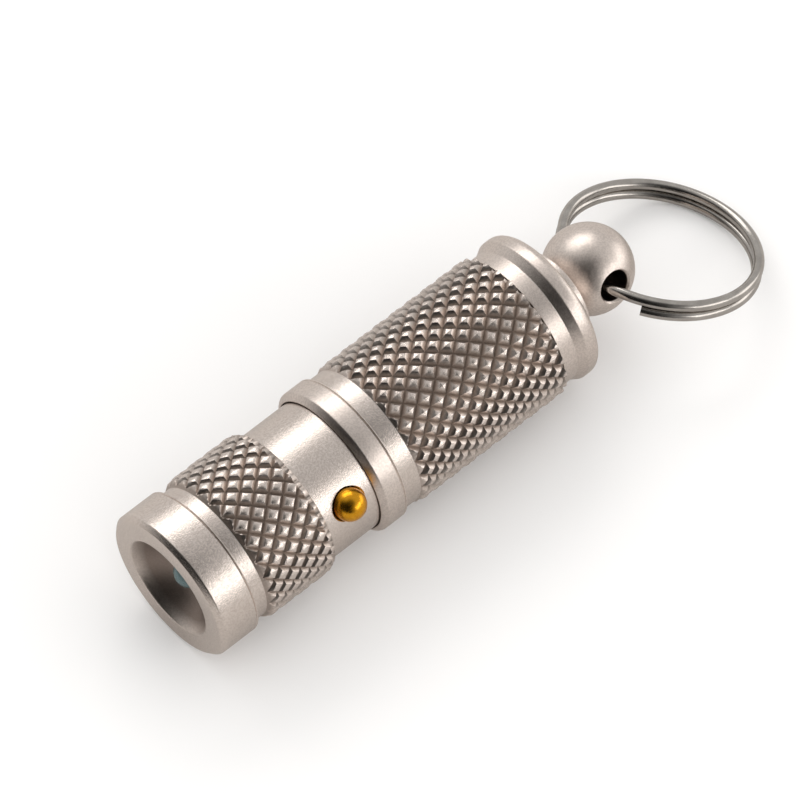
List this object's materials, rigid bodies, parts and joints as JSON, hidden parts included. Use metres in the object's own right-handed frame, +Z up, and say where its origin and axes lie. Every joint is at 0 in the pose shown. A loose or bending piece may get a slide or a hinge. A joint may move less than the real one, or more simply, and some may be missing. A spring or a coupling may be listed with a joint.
{
  "type": "keychain flashlight",
  "caption": "Small round metal keychain torch: cup-shaped bezel, knurled grips, side push button, twisting head, swivel ball with a split ring.",
  "frame": {"origin": "on the surface that the torch lies on, under the middle of its bounding box", "axes": "+X along the torch from the light to the key ring, +Z up with the torch lying on its side, +Y to the left seen from the light"},
  "size_m": [0.0622, 0.0178, 0.0139],
  "materials": {
    "satin_nickel": "bead-blasted and nickel plated, satin champagne",
    "polished_steel": "drawn wire, polished",
    "gold_button": "polished and gold plated",
    "gold_plate": "gold plated contact",
    "brass": "turned, bare",
    "copper_board": "copper core board with clear lacquer",
    "clear_silicone": "clear moulded silicone",
    "led_phosphor": "matt yellow phosphor on white ceramic",
    "circuit_board": "green solder mask",
    "red_insulation": "silicone insulation",
    "black_insulation": "silicone insulation",
    "black_rubber": "moulded nitrile, greased",
    "black_plastic": "moulded",
    "battery_steel": "nickel plated steel",
    "white_nylon": "moulded",
    "blue_shrink_film": "heat-shrunk film"
  },
  "bodies": {
    "barrel": {"barrel": "satin_nickel", "barrel_collar": "satin_nickel", "battery_can": "battery_steel", "battery_gasket": "white_nylon", "battery_terminal": "battery_steel", "battery_sleeve": "blue_shrink_film", "tail_contact": "gold_plate", "tail_cap": "satin_nickel", "tail_o_ring": "black_rubber"},
    "head": {"bezel_ring": "satin_nickel", "bezel_o_ring": "black_rubber", "led_dome": "clear_silicone", "led_package": "led_phosphor", "led_board": "copper_board", "led_pill": "brass", "head_tube": "satin_nickel", "head_o_ring": "black_rubber", "driver_board": "circuit_board", "red_lead": "red_insulation", "black_lead": "black_insulation", "contact_spring": "gold_plate", "switch_housing": "black_plastic", "switch_board": "circuit_board"},
    "button": {"push_button": "gold_button", "button_o_ring": "black_rubber", "switch_plunger": "black_plastic"},
    "swivel": {"swivel_ball": "satin_nickel", "swivel_washer": "brass", "swivel_clip": "polished_steel"},
    "ring": {"split_ring": "polished_steel"}
  },
  "joints": [
    {"name": "head_twist", "type": "hinge", "parent": "barrel", "child": "head", "pos_m": [-0.012, 0.00144, 0.00697], "axis": [-1, 0, 0], "range_deg": [0, 90]},
    {"name": "button_press", "type": "slide", "parent": "head", "child": "button", "axis": [0, 0.848, -0.5299], "range_m": [0, 0.0006], "stiffness_N_per_m": 2500, "springref_m": -0.0002},
    {"name": "swivel_spin", "type": "hinge", "parent": "barrel", "child": "swivel", "pos_m": [0.01559, 0.00144, 0.00697], "axis": [1, 0, 0], "continuous": true},
    {"name": "ring_swing", "type": "hinge", "parent": "swivel", "child": "ring", "pos_m": [0.01559, 0.00144, 0.00697], "axis": [0, -0.9336, 0.3584], "range_deg": [-83, 127]}
  ]
}
